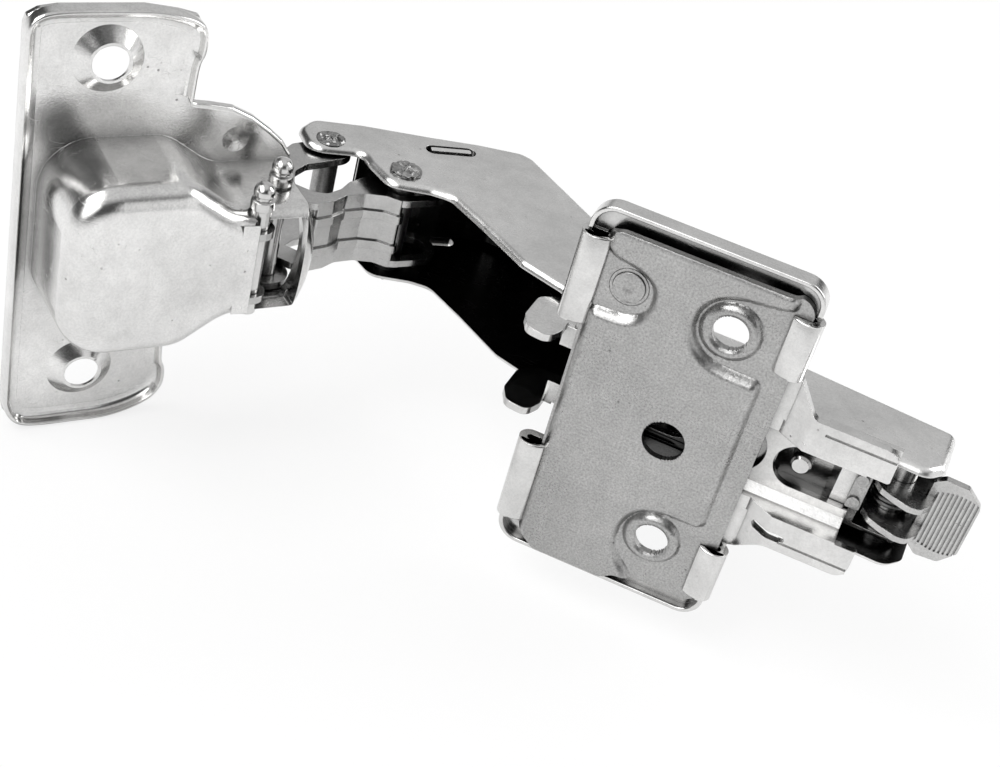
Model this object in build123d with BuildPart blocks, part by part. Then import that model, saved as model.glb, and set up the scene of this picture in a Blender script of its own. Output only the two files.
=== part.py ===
from build123d import *
from math import cos, radians, tan
import os

# Concealed cup hinge in its open position, in millimetres.
# The origin lies on the contact face of the cabinet plate, midway between its
# two screw holes. +Z runs along the hinge pins, -Y points at the cabinet side
# wall, +X runs to the release lever and -X to the cup.

# ------------------------------------------------------------- dimensions
GAP = 0.1                       # running gap between neighbouring sheets

# cabinet plate
PLATE_T = 0.9
PLATE_X = (-16.8, 8.0)
PLATE_Z = 23.3
PLATE_CORNER = 2.2
PLATE_LOW = 1.1                 # depth of its lowered areas
SCREW_Z = 16.0
SCREW_HOLE_R = 2.15
SCREW_CONE_R = 3.85
SCREW_CONE_OUT = 0.75

# raised contact face, (x, z) around its outline
PLATEAU = ((-15.4, -23.0), (-1.2, -23.0), (-3.8, -21.4), (-5.2, -18.4), (-5.0, -15.0),
           (-3.4, -12.2), (0.0, -10.9), (4.6, -10.9), (4.6, 10.3), (-1.5, 10.3), (-4.2, 12.4),
           (-5.2, 15.6), (-4.4, 18.8), (-1.5, 21.2), (5.0, 21.5), (5.0, 23.0), (-15.4, 23.0),
           (-15.4, 20.1), (-11.2, 19.9), (-8.8, 17.8), (-8.8, 14.2), (-10.8, 12.0),
           (-15.4, 11.8))

# wing plate
WING_T = 1.0
WING_Y = 2.1
WING_Z = 25.5
WING_X = (-19.2, 8.8)
WING_CORNER = 3.0
WING_INNER_X = -17.0            # left edge between the rolled tabs
RIM_W = 0.65                    # turned rim round both ends
RIM_Y = 0.9
RIM_FROM = 21.8
HAT_Z = 6.2
HAT_Y = 4.0
CROWN_SLOT_X = -0.2             # slot of the bridge for the overlay screw
CROWN_SLOT = (18.2, 7.6)
TAIL_END = 23.0
TAIL_Z = 9.7
TAIL_PLAN = ((6.0, 13.2), (9.2, 13.2), (12.4, TAIL_Z), (TAIL_END, TAIL_Z))
TAIL_SIDE = ((8.4, 2.1), (9.2, 2.1), (12.4, 0.1), (TAIL_END, 0.1), (TAIL_END, 1.1),
             (12.8, 1.1), (9.6, 3.1), (8.4, 3.1))
LIP_Y = 0.02

# height cam
CAM_AT = (-12.6, 16.4)
CAM_THROW = 1.732
CAM_R = 3.5

# clip carriage and its screws
CAR_Y = 5.1
CAR_Z = 6.1
CAR_T = 1.0
PIVOT = (24.5, 7.4)
PIVOT_R = 1.8
DEPTH_X = 13.2
DEPTH_R = 1.3
OVERLAY_X = 4.2
RECESS_X = (9.2, 18.8)          # drawn pocket that carries the depth screw
RECESS_Y = 8.0
STRIP_X = (19.7, 21.5)
RIVET_X = 20.5
RIVET_Z = (1.7, -1.7)
# hook at the front end of each side wall, (x, y)
HOOK = ((-18.6, 10.2), (-21.0, 10.2), (-23.6, 8.2), (-23.8, 3.6), (-22.7, 1.2), (-19.8, 0.8),
        (-18.8, 3.2))

# arm
ARM_Z = 7.7
ARM_T = 0.9
ARM_FOLD = 1.1
PIN_POCKET = 0.35              # skin left outside the lever pin
P_FRONT = (-58.9, 22.2)
P_REAR = (-47.7, 21.6)
P_FRONT_R = 1.6
P_REAR_R = 1.8

# far and near edges of the arm's side walls, and the hollow between the walls
ARM_FAR = ((-63.7, 22.7), (-63.4, 25.8), (-57.5, 29.3), (-49.0, 33.1), (-42.8, 36.1),
           (-37.1, 38.2), (-35.1, 37.8), (-25.4, 30.5), (-3.4, 14.0), (9.5, 14.0), (29.0, 12.3, 1.3))
ARM_NEAR = ((28.6, 4.2, 1.5), (26.7, 2.0), (23.1, 2.2), (12.8, 2.2), (9.5, 4.2),
            (-10.0, 5.0), (-14.0, 6.6), (-21.9, 9.8), (-27.5, 11.6), (-34.7, 16.5),
            (-40.5, 20.1), (-43.2, 19.7), (-45.8, 18.6), (-47.6, 17.9), (-48.9, 18.0),
            (-52.5, 20.5), (-54.3, 22.2), (-58.7, 19.4), (-60.9, 19.1), (-63.2, 21.6))
ARM_VOID = ((-63.7, -10.0),) + ARM_FAR[:-1] + ((45.0, 10.5), (45.0, -10.0))

# closing spring: leaf line (x, y) and the side tabs that hang it in the arm's slots
SPRING_T = 0.8
SPRING_W = 5.9
SPRING_LINE = ((-56.0, 26.2), (-51.5, 28.6), (-48.0, 29.6), (-45.0, 31.4), (-41.5, 33.8),
               (-38.2, 35.6), (-35.6, 35.3), (-33.0, 33.2))
TAB_AT = (-45.0, 31.0)
TAB_TILT = 34
TAB_SLOT = (7.0, 2.2)

# release lever: side arm (x, y) and thumb tab (x, z)
LEVER_Z = (1.9, 2.7)
LEVER_SIDE = ((22.0, 7.6), (21.7, 4.6), (22.7, 3.0), (24.2, 2.2), (26.2, 1.5), (27.6, 1.7),
              (28.6, 3.2), (29.0, 5.5), (29.0, 7.0), (26.6, 9.2), (24.0, 9.6))
RIBS = 10                       # grip grooves of the thumb tab
COIL_R = 2.3
COIL_WIRE_R = 0.3
LEVER_TAB = ((28.0, -4.6), (28.0, 4.6), (29.2, 5.4), (32.0, 5.3), (34.1, 3.4), (34.1, -3.8),
             (32.4, -5.9), (29.6, -6.1))

# links
SHORT_Z = (5.4, 6.4)
LONG_Z = (4.2, 5.2)
RUN = 0.06                      # radial play of an eye on its pin

EYE_END = (-45.55, 23.85)       # far end of the long link's slotted eye
SHORT_LINK = ((-61.7, 21.8), (-63.1, 19.6), (-63.2, 17.3), (-62.2, 13.0), (-61.7, 8.2),
              (-59.5, 6.8), (-56.6, 8.6), (-58.6, 11.2), (-59.7, 13.6), (-59.3, 16.2),
              (-57.9, 18.2), (-56.3, 20.8), (-58.6, 23.0))
LONG_LINK = ((-50.2, 23.6), (-52.6, 20.6), (-53.7, 18.0), (-53.8, 15.6), (-54.7, 13.3),
             (-56.5, 12.5), (-58.8, 12.6), (-61.0, 11.8), (-62.9, 9.8), (-63.7, 7.4),
             (-61.9, 4.4), (-60.2, 2.0), (-58.6, 0.6), (-57.2, 2.4), (-58.9, 3.9),
             (-60.4, 5.3), (-61.0, 7.2), (-60.5, 8.7), (-58.9, 9.45), (-56.4, 9.3),
             (-54.6, 10.2), (-53.2, 12.4), (-52.6, 14.6), (-50.8, 16.8), (-48.5, 18.1),
             (-46.4, 18.4), (-45.6, 21.0))
LONG_EYE_R = 1.95
LINK_BEADS = (2.3, -2.3)
LONG_WEB = ((-54.6, 10.2), (-53.2, 12.4), (-52.6, 14.6), (-50.8, 16.8), (-48.5, 18.1),
            (-46.2, 18.3), (-46.1, 19.2), (-48.9, 19.0), (-51.5, 17.6), (-53.4, 15.1),
            (-54.1, 12.8), (-55.3, 11.0))

# cup, measured in the plane of its flange: u across, w into the door
CUP_AT = (-77.405, -4.869)
CUP_U = (0.6647, 0.7471)
CUP_W = (0.7471, -0.6647)
CUP_T = 1.0
CUP_DEPTH = 12.8
CUP_TAPER = 1.2
CUP_EDGE = 3.0
CUP_BLEND = 0.8                 # bend between flange and bowl
FLANGE_EDGE = 0.6
LONG_EYE_Z = 4.7
EYE_NOTCH = 1.1
BORE_R = 17.5
BORE_U = 7.6
CUP_PIN_R = 1.25
CUP_PINS = ((17.0, 10.9), (21.4, 5.7))
PIN_TOP = 11.4
PIN_BEND = -9.2
CUP_SCREW_Z = 22.5
CUP_HOLE_R = 2.25
CUP_CONE = (4.3, 2.6, 1.3)      # countersink: base and top radius, height
# drawn outline of bowl and nose, (u, z, corner radius)
BOWL = ((-7.2, -12.1, 6.5), (-7.2, 12.1, 6.5), (8.2, 12.1, 5.5), (14.2, 7.8, 5.5),
        (30.0, 7.8), (30.0, -7.8), (14.2, -7.8, 5.5), (8.2, -12.1, 5.5))
NOSE_LIP = 8.6                  # the end wall stands from here to the bottom
WINDOW = (15.8, 22.9, 6.7)      # opening of the bottom, (from u, to u, half width)
SKIRT = 0.9                     # depth of the turned edge round the flange
# upper half of the flange outline, (u, z)
FLANGE_RIM = ((-9.8, 26.8), (-9.5, 28.6), (-8.2, 30.0), (-6.0, 30.6), (4.0, 30.6), (8.1, 29.4),
              (10.5, 28.2), (11.4, 26.0), (11.2, 23.0), (10.7, 22.6), (10.5, 17.6),
              (11.2, 16.2), (13.4, 15.9), (16.5, 15.3), (19.4, 13.8), (21.9, 11.9),
              (23.8, 10.2), (25.2, 8.1), (25.2, 7.0))

os.makedirs("parts", exist_ok=True)


def front(depth):
    """Plane of the cabinet side at a depth behind the contact face."""
    return Plane.XZ.offset(-depth)


def rounded(points, radius, closed=True):
    """Line through points whose corners are rounded as far as their sides allow.

    A third value in a flat point is that corner's own radius.
    """
    count = len(points)
    flat = closed or len(points[0]) == 2
    radii = [p[2] if flat and len(p) == 3 else radius for p in points]
    corners = [Vector(*p[:2]) if flat else Vector(*p) for p in points]
    ends = []
    for i, corner in enumerate(corners):
        before, after = corners[i - 1] - corner, corners[(i + 1) % count] - corner
        half = radians(before.get_angle(after)) / 2
        room = 0.49 * min(before.length, after.length)
        cut = min(radii[i] / tan(half), room) if half < 1.5 else 0
        if cut < 0.02 or not closed and i in (0, count - 1):
            ends.append((corner, corner, corner))
            continue
        bisector = (before.normalized() + after.normalized()).normalized()
        turn = cut * tan(half)
        middle = corner + bisector * (cut / cos(half) - turn)
        start, stop = corner + before.normalized() * cut, corner + after.normalized() * cut
        ends.append((start, middle, stop))
    edges = []
    for i, (start, middle, stop) in enumerate(ends):
        if (stop - start).length > 0.01:
            edges.append(Edge.make_three_point_arc(start, middle, stop))
        after = ends[(i + 1) % count][0]
        if (closed or i < count - 1) and (after - stop).length > 0.001:
            edges.append(Edge.make_line(stop, after))
    return Wire(edges)


def slotted(start, end, radius):
    """Corners of the box around a slot, to be rounded into its ends."""
    along = (Vector(*end) - Vector(*start)).normalized() * radius
    across = Vector(-along.Y, along.X)
    a, b = Vector(*start) - along, Vector(*end) + along
    return [tuple(p)[:2] for p in (a + across, a - across, b - across, b + across)]


def outline(points, radius):
    """Filled face whose corners are rounded, to add to a sketch."""
    return Face(rounded(points, radius))


def mirrored(points):
    return tuple((u, -z) for u, z in reversed(points))


def wing_outline(inset=0.0):
    """Rounded outline of the wing plate, or the same drawn in by a margin."""
    left, right, top = WING_X[0] + inset, WING_X[1] - inset, WING_Z - inset
    return outline(((left, -top), (right, -top), (right, top), (left, top)), WING_CORNER - inset)


def save(part, name):
    part.label = name
    export_step(part, "parts/" + name + ".step")


def cup_point(u, w):
    return (CUP_AT[0] + u * CUP_U[0] + w * CUP_W[0], CUP_AT[1] + u * CUP_U[1] + w * CUP_W[1])


def height_of(edge):
    """Distance of an edge's middle from the door face, into the door."""
    return FLANGE.to_local_coords(edge.center()).Z


def flat_u(edge):
    """Place of an edge's middle across the flange."""
    return FLANGE.to_local_coords(edge.center()).X


FLANGE = Plane(origin=(CUP_AT[0], CUP_AT[1], 0), x_dir=(CUP_U[0], CUP_U[1], 0),
               z_dir=(CUP_W[0], CUP_W[1], 0))
# ---------------------------------------------------------- cabinet plate
with BuildPart() as cabinet_plate:
    with BuildSketch(front(PLATE_LOW)):
        with Locations(((PLATE_X[0] + PLATE_X[1]) / 2, 0)):
            RectangleRounded(PLATE_X[1] - PLATE_X[0], 2 * PLATE_Z, PLATE_CORNER)
    extrude(amount=-PLATE_T)
    with BuildSketch(front(PLATE_LOW + 0.01)) as plateau:
        add(outline(PLATEAU, 1.6))
    extrude(amount=PLATE_LOW + 0.01)
    top = cabinet_plate.faces().filter_by(Axis.Y).sort_by(Axis.Y)[0]
    fillet(top.outer_wire().edges(), 0.5)
    with BuildSketch(front(PLATE_LOW + PLATE_T)):
        offset(plateau.sketch, amount=-0.8)
    extrude(amount=PLATE_LOW, mode=Mode.SUBTRACT)
    # countersunk screw dimples standing out of the lowered pads
    for side in (1, -1):
        with Locations(Location((0, PLATE_LOW, side * SCREW_Z), (90, 0, 0))):
            Cone(SCREW_CONE_R, SCREW_HOLE_R + 0.3, SCREW_CONE_OUT,
                 align=(Align.CENTER, Align.CENTER, Align.MIN))
        with Locations(Location((0, PLATE_LOW + PLATE_T, side * SCREW_Z), (90, 0, 0))):
            Cone(SCREW_CONE_R + 0.1, SCREW_HOLE_R, PLATE_T + SCREW_CONE_OUT - 0.2,
                 align=(Align.CENTER, Align.CENTER, Align.MIN), mode=Mode.SUBTRACT)
            Cylinder(SCREW_HOLE_R, 4, mode=Mode.SUBTRACT)
    # central clearance hole and cam rivet hole
    with BuildSketch(front(0)):
        with Locations((-2.8, -1.0)):
            Circle(2.65)
        with Locations(CAM_AT):
            Circle(1.8)
    extrude(amount=-4, mode=Mode.SUBTRACT)
save(cabinet_plate.part, "cabinet_plate")

# ---------------------------------------------- wing plate and its waisted tail
with BuildPart() as tail:
    with BuildSketch(Plane.XY.offset(-13.5)):
        add(outline(TAIL_SIDE, 1.2))
    extrude(amount=27)
    with BuildSketch(front(-1)):
        add(outline(TAIL_PLAN + mirrored(TAIL_PLAN), 1.8))
    extrude(amount=-6, mode=Mode.INTERSECT)

with BuildPart() as wing_plate:
    # flat web, narrower between the rolled tabs
    with BuildSketch(front(WING_Y)):
        add(wing_outline())
        with Locations((WING_INNER_X - 2, 0)):
            Rectangle(4.0, 2 * RIM_FROM, mode=Mode.SUBTRACT)
        with Locations((WING_INNER_X, 0)):
            Rectangle(2.0, 18.0, mode=Mode.SUBTRACT)
    extrude(amount=-WING_T)
    # turned rims round both ends
    with BuildSketch(front(RIM_Y)):
        add(wing_outline())
        add(wing_outline(RIM_W), mode=Mode.SUBTRACT)
        Rectangle(60, 2 * RIM_FROM, mode=Mode.SUBTRACT)
    extrude(amount=RIM_Y - WING_Y - 0.1)
    fillet(wing_plate.edges().filter_by_position(Axis.Y, RIM_Y, RIM_Y), 0.25)
    add(tail.part)
    # raised rim lines along the tail
    for side in (1, -1):
        with Locations(((13.4 + TAIL_END) / 2 + 0.3, 1.35, side * (TAIL_Z - 0.45))):
            Box(TAIL_END - 14.2, 0.7, 0.9)
        with Locations(((13.4 + TAIL_END) / 2 + 0.3, 0.1, side * (TAIL_Z - 1.3))):
            Box(TAIL_END - 14.4, 0.5, 0.35, mode=Mode.SUBTRACT)
    # top-hat bridge running the whole length
    with BuildSketch(Plane.YZ.offset(-16.0)) as hat:
        with Locations((2.55, 0)):
            Rectangle(4.9, 2 * HAT_Z)
    extrude(amount=36.3)
    crown = wing_plate.edges().filter_by(Axis.X).filter_by_position(Axis.Y, 4.99, 5.01)
    fillet(crown, 0.8)
    with BuildSketch(Plane.YZ.offset(-17.0)) as hollow:
        with BuildLine():
            Polyline((-1, -5.2), (3.0, -5.2), (HAT_Y, -4.2), (HAT_Y, 4.2), (3.0, 5.2), (-1, 5.2),
                     close=True)
        make_face()
    extrude(amount=37.4, mode=Mode.SUBTRACT)
    # the bridge stays behind the near face of the web and of the step
    with BuildSketch(Plane.XY.offset(-7)):
        with BuildLine():
            Polyline((-18, -1), (-18, WING_Y), (9.2, WING_Y), (12.4, 0.1), (12.4, -1), close=True)
        make_face()
    extrude(amount=14, mode=Mode.SUBTRACT)
    with BuildSketch(Plane.YZ.offset(20.3)):
        Rectangle(12, 2 * HAT_Z - 1.6)
    extrude(amount=4, mode=Mode.SUBTRACT)
    # slots of the crown, screw and cam clearances, tail window
    with BuildSketch(front(-1)):
        with Locations((16.0, 0)):
            SlotOverall(12.0, 6.0)
        with Locations((19.0, 0)):
            Rectangle(6.0, 6.0)
        with Locations((CROWN_SLOT_X, 0)):
            SlotOverall(*CROWN_SLOT)
        with Locations((0, SCREW_Z), (0, -SCREW_Z)):
            SlotOverall(11.6, 8.6, rotation=90)
        with Locations((CAM_AT[0] + 1.3, CAM_AT[1])):
            SlotOverall(2 * CAM_R + 0.3 + 0.9, 2 * CAM_R + 0.3)
        with Locations((12.6, -7.9)):
            SlotOverall(4.4, 1.1)
    extrude(amount=-8, mode=Mode.SUBTRACT)
    # folded tabs that lap over the edges of the cabinet plate
    fold_r = (WING_Y + WING_T - LIP_Y) / 2
    for edge, reach, tip, spans in ((-18.3, 1, -16.1, ((9.7, 21.5), (-21.5, -9.2))),
                                    (7.86, -1, 5.8, ((13.3, 21.0), (-21.7, -14.0)))):
        for low, high in spans:
            with BuildSketch(Plane.XY.offset(low)):
                with Locations((edge, LIP_Y + fold_r)):
                    Circle(fold_r)
                    Circle(fold_r - WING_T, mode=Mode.SUBTRACT)
                with Locations((edge + reach * 2, LIP_Y + fold_r)):
                    Rectangle(4, 4, mode=Mode.SUBTRACT)
                add(outline(((edge, LIP_Y, 0), (tip, LIP_Y, 0.7), (tip, LIP_Y + WING_T, 0.2),
                             (edge, LIP_Y + WING_T, 0)), 0))
                with Locations((edge + reach * 1.2, WING_Y + WING_T / 2)):
                    Rectangle(2.4, WING_T)
            extrude(amount=high - low)
save(wing_plate.part, "wing_plate")

# ------------------------------------------------------------- height cam
with BuildPart() as height_cam:
    with BuildSketch(front(0.35)):
        with Locations(CAM_AT):
            Circle(2.4)
    extrude(amount=-0.7)
    fillet(height_cam.edges().group_by(Axis.Y)[0], 0.35)
    with BuildSketch(front(1.05)):
        with Locations(CAM_AT):
            Circle(1.7)
    extrude(amount=-1.0)
    with BuildSketch(front(2.05)):
        with Locations((CAM_AT[0] + CAM_THROW, CAM_AT[1])):
            Circle(CAM_R)
    extrude(amount=-1.1)
    with BuildSketch(front(3.15)):
        with Locations((CAM_AT[0] + CAM_THROW, CAM_AT[1])):
            Circle(CAM_R + 1.0)
    extrude(amount=-1.3)
    chamfer(height_cam.edges().group_by(Axis.Y)[-1], 0.3)
    with BuildSketch(front(4.45)):
        with Locations((CAM_AT[0] + CAM_THROW, CAM_AT[1])):
            Rectangle(4.6, 1.1)
            Rectangle(1.1, 4.6)
    extrude(amount=1.0, mode=Mode.SUBTRACT)
    with Locations(Location((CAM_AT[0], 0.35, CAM_AT[1]), (90, 0, 0))):
        Cone(0.2, 0.8, 0.5, mode=Mode.SUBTRACT)
save(height_cam.part, "height_cam")

# ---------------------------------------------------------- clip carriage
with BuildPart() as clip_carriage:
    with BuildSketch(Plane.XY.offset(-CAR_Z)):
        with BuildLine():
            Polyline((-19.0, CAR_Y), (PIVOT[0], CAR_Y), (PIVOT[0], 10.2), (-19.0, 10.2),
                     close=True)
        make_face()
        with Locations(PIVOT):
            Circle(2.8)
        with Locations((PIVOT[0], 3.6)):
            Rectangle(8, 2.8, mode=Mode.SUBTRACT)
    extrude(amount=2 * CAR_Z)
    base = clip_carriage.edges().filter_by(Axis.X).group_by(Axis.Y)[0]
    fillet(base, 0.9)
    with BuildSketch(Plane.YZ.offset(-30)):
        with Locations((CAR_Y + CAR_T + 4, 0)):
            Rectangle(8, 2 * (CAR_Z - CAR_T))
    extrude(amount=60, mode=Mode.SUBTRACT)
    # pocket under the tail, deep enough for the head of the depth screw
    with BuildSketch(Plane.XY.offset(CAR_T - CAR_Z)):
        with BuildLine():
            Polyline((RECESS_X[0], CAR_Y), (RECESS_X[0] + 0.9, RECESS_Y + CAR_T),
                     (RECESS_X[1] - 0.9, RECESS_Y + CAR_T), (RECESS_X[1], CAR_Y), close=True)
        make_face()
    extrude(amount=2 * (CAR_Z - CAR_T))
    with BuildSketch(Plane.XY.offset(-4.0)):
        with BuildLine():
            Polyline((RECESS_X[0] + 1.0, CAR_Y - 0.1), (RECESS_X[0] + 1.8, RECESS_Y),
                     (RECESS_X[1] - 1.8, RECESS_Y), (RECESS_X[1] - 1.0, CAR_Y - 0.1), close=True)
        make_face()
    extrude(amount=8.0, mode=Mode.SUBTRACT)
    with BuildSketch(front(0)):
        with Locations((26.4, 0)):
            Rectangle(10, 2 * (CAR_Z - CAR_T))
        with Locations((-18.4, 0)):
            RectangleRounded(5.2, 5.6, 1.6)
        with Locations((DEPTH_X, 0)):
            Circle(DEPTH_R + 0.1)
        with Locations((OVERLAY_X, 0)):
            Circle(1.65)
        with Locations((-4.9, 0)):
            SlotOverall(11.0, 7.0)
    extrude(amount=-(RECESS_Y + 1.5), mode=Mode.SUBTRACT)
    # the side walls run on as hooks in front of the wing plate
    for low in (CAR_Z - CAR_T, -CAR_Z):
        with BuildSketch(Plane.XY.offset(low)):
            add(outline(HOOK, 1.5))
            with Locations((-18.8, 7.7)):
                Rectangle(2.0, 5.0)
        extrude(amount=CAR_T)
    # pivot holes and rivet holes of the catch strip
    with Locations(PIVOT):
        Cylinder(PIVOT_R + RUN, 20, mode=Mode.SUBTRACT)
    for side in RIVET_Z:
        with Locations(Location((RIVET_X, CAR_Y, side), (90, 0, 0))):
            Cylinder(0.52, 4, mode=Mode.SUBTRACT)
save(clip_carriage.part, "clip_carriage")

# -------------------------------------------------------------------- arm
with BuildPart() as hinge_arm:
    with BuildSketch(Plane.XY.offset(-ARM_Z)):
        add(outline(ARM_FAR + ARM_NEAR, 2.4))
    extrude(amount=2 * ARM_Z)
    # rounded folds along both far edges
    folds = hinge_arm.edges().filter_by(
        lambda e: abs(abs(e.center().Z) - ARM_Z) < 0.01
        and (e.center().Y > 25 if e.center().X < -37 else
             e.center().Y > max(10.0, 8 - 0.75 * e.center().X)))
    fillet(folds, ARM_FOLD)
    with BuildSketch(Plane.XY.offset(ARM_T - ARM_Z)):
        offset(outline(ARM_VOID, 2.4), amount=-ARM_T)
        with Locations((-61.5, 25)):
            Rectangle(9, 30)
    extrude(amount=2 * (ARM_Z - ARM_T), mode=Mode.SUBTRACT)
    # pin holes, spring windows, screw holes
    for at, radius, length in ((P_FRONT, P_FRONT_R + RUN, 20), (P_REAR, P_REAR_R + 0.02, 20),
                               (PIVOT, PIVOT_R + 0.02, 2 * (ARM_Z - PIN_POCKET))):
        with Locations(at):
            Cylinder(radius, length, mode=Mode.SUBTRACT)
    with BuildSketch(Plane.XY.offset(-9)):
        with Locations(TAB_AT):
            SlotOverall(*TAB_SLOT, rotation=TAB_TILT)
    extrude(amount=18, mode=Mode.SUBTRACT)
    with BuildSketch(front(9)):
        with Locations((OVERLAY_X, 0)):
            Circle(3.25)
        with Locations((DEPTH_X, 0)):
            Circle(3.6)
    extrude(amount=-6, mode=Mode.SUBTRACT)
save(hinge_arm.part, "hinge_arm")


def pin(at, radius, reach, head_r, head):
    """Round pin along Z with a low riveted head at each end."""
    with BuildPart() as body:
        with Locations(at):
            Cylinder(radius, 2 * (reach + head))
        for side in (1, -1):
            with Locations((at[0], at[1], side * (reach + head / 2))):
                Cylinder(head_r, head)
        rims = body.edges().filter_by(GeomType.CIRCLE).sort_by(Axis.Z)
        chamfer((rims[0], rims[-1]), 0.3 * head)
    return body.part


save(pin(P_FRONT, P_FRONT_R, ARM_Z + 0.05, 2.0, 0.4), "front_link_pin")
save(pin(P_REAR, P_REAR_R, ARM_Z, 2.2, 0.7), "rear_link_pin")

with BuildPart() as lever_pin:
    with Locations(PIVOT):
        Cylinder(PIVOT_R, 2 * (ARM_Z - PIN_POCKET))
    chamfer(lever_pin.edges().filter_by(GeomType.CIRCLE), 0.2)
save(lever_pin.part, "lever_pin")

# ---------------------------------------------------------- closing spring
with BuildPart() as closing_spring:
    with BuildSketch(Plane.XY.offset(-SPRING_W)):
        add(Face(rounded(SPRING_LINE, 2.0, False).offset_2d(SPRING_T, side=Side.RIGHT)))
    extrude(amount=2 * SPRING_W)
    with BuildSketch(Plane.XY.offset(-ARM_Z - 0.1)):
        with Locations(TAB_AT):
            RectangleRounded(5.6, SPRING_T + 0.1, 0.3, rotation=TAB_TILT)
    extrude(amount=2 * (ARM_Z + 0.1))
save(closing_spring.part, "closing_spring")

# ---------------------------------------------------- adjustment screws
with BuildPart() as overlay_screw:
    with BuildSketch(front(6.25)):
        with Locations((OVERLAY_X, 0)):
            Circle(2.9)
    extrude(amount=-9.2)
    chamfer(overlay_screw.edges().filter_by(GeomType.CIRCLE), 0.5)
    with BuildSketch(front(4.95)):
        with Locations((OVERLAY_X, 0)):
            Circle(1.58)
    extrude(amount=-1.4)
    with BuildSketch(front(4.1)):
        with Locations((OVERLAY_X, 0)):
            Circle(2.2)
    extrude(amount=-0.85)
    with BuildSketch(front(15.45)):
        with Locations((OVERLAY_X, 0)):
            Rectangle(3.6, 0.9)
            Rectangle(0.9, 3.6)
    extrude(amount=1.4, mode=Mode.SUBTRACT)
save(overlay_screw.part, "overlay_screw")

with BuildPart() as depth_screw:
    with BuildSketch(front(4.6)):
        with Locations((DEPTH_X, 0)):
            Circle(DEPTH_R)
    extrude(amount=-5.0)
    chamfer(depth_screw.edges().group_by(Axis.Y)[0], 0.3)
    with BuildSketch(front(RECESS_Y + CAR_T + 0.05)):
        with Locations((DEPTH_X, 0)):
            Circle(3.1)
    extrude(amount=-2.2)
    chamfer(depth_screw.edges().group_by(Axis.Y)[-1], 0.4)
    with BuildSketch(front(RECESS_Y + CAR_T + 2.3)):
        with Locations((DEPTH_X, 0)):
            Rectangle(4.2, 1.0)
            Rectangle(1.0, 4.2)
    extrude(amount=1.3, mode=Mode.SUBTRACT)
save(depth_screw.part, "depth_screw")

# ---------------------------------------------------------- release lever
with BuildPart() as release_lever:
    for low in (LEVER_Z[0], -LEVER_Z[1]):
        with BuildSketch(Plane.XY.offset(low)):
            add(outline(LEVER_SIDE, 1.2))
            with Locations(PIVOT):
                Circle(2.9)
        extrude(amount=LEVER_Z[1] - LEVER_Z[0])
    with BuildSketch(front(5.5)):
        add(outline(LEVER_TAB, 0.8))
        with Locations((28.8, 0)):
            Rectangle(1.6, 9.0)
    extrude(amount=-1.0)
    for k in range(RIBS):
        with Locations((28.9 + 4.8 * k / (RIBS - 1), 5.5, -0.3)):
            Box(0.24, 0.4, 8.8 - 0.05 * (k - RIBS / 2) ** 2, mode=Mode.SUBTRACT)
    with Locations(PIVOT):
        Cylinder(PIVOT_R + RUN, 20, mode=Mode.SUBTRACT)
save(release_lever.part, "release_lever")

with BuildPart() as lever_spring:
    with Locations(PIVOT):
        Cylinder(COIL_R + 0.1, 2.6)
        Cylinder(COIL_R - 0.2, 6.0, mode=Mode.SUBTRACT)
    for k in (-1.5, -0.5, 0.5, 1.5):
        with Locations((*PIVOT, 0.8 * k)):
            Torus(COIL_R, COIL_WIRE_R)
    for side, length in ((1, 2.0), (-1, 0.9)):
        with Locations((PIVOT[0] + COIL_R, PIVOT[1] + side * length / 2, side * 1.2)):
            Box(2 * COIL_WIRE_R, length, 2 * COIL_WIRE_R)
save(lever_spring.part, "lever_spring")

# ------------------------------------------------- catch strip and rivets
with BuildPart() as catch_strip:
    with BuildSketch(front(4.55)):
        with Locations(((STRIP_X[0] + STRIP_X[1]) / 2, 0)):
            RectangleRounded(STRIP_X[1] - STRIP_X[0], 5.6, 0.3)
        with Locations(*((RIVET_X, side) for side in RIVET_Z)):
            Circle(0.52, mode=Mode.SUBTRACT)
    extrude(amount=-0.5)
save(catch_strip.part, "catch_strip")

for name, side in zip(("upper_catch_rivet", "lower_catch_rivet"), RIVET_Z):
    with BuildPart() as rivet:
        for depth, radius, length in ((4.25, 0.75, 0.28), (4.5, 0.5, 1.7), (6.12, 0.8, 0.35)):
            with BuildSketch(front(depth)):
                with Locations((RIVET_X, side)):
                    Circle(radius)
            extrude(amount=-length)
    save(rivet.part, name)

# ------------------------------------------------------------------ links
C_REAR, C_FRONT = (cup_point(*p) for p in CUP_PINS)

for name, low in (("upper_short_link", SHORT_Z[0]), ("lower_short_link", -SHORT_Z[1])):
    with BuildPart() as plate:
        with BuildSketch(Plane.XY.offset(low)):
            add(outline(SHORT_LINK, 1.6))
            with Locations(P_FRONT):
                Circle(3.0)
            with Locations(C_FRONT):
                Circle(2.9)
            with Locations(P_FRONT):
                Circle(P_FRONT_R + 0.02, mode=Mode.SUBTRACT)
            with Locations(C_FRONT):
                Circle(CUP_PIN_R + RUN, mode=Mode.SUBTRACT)
        extrude(amount=SHORT_Z[1] - SHORT_Z[0])
    save(plate.part, name)

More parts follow.
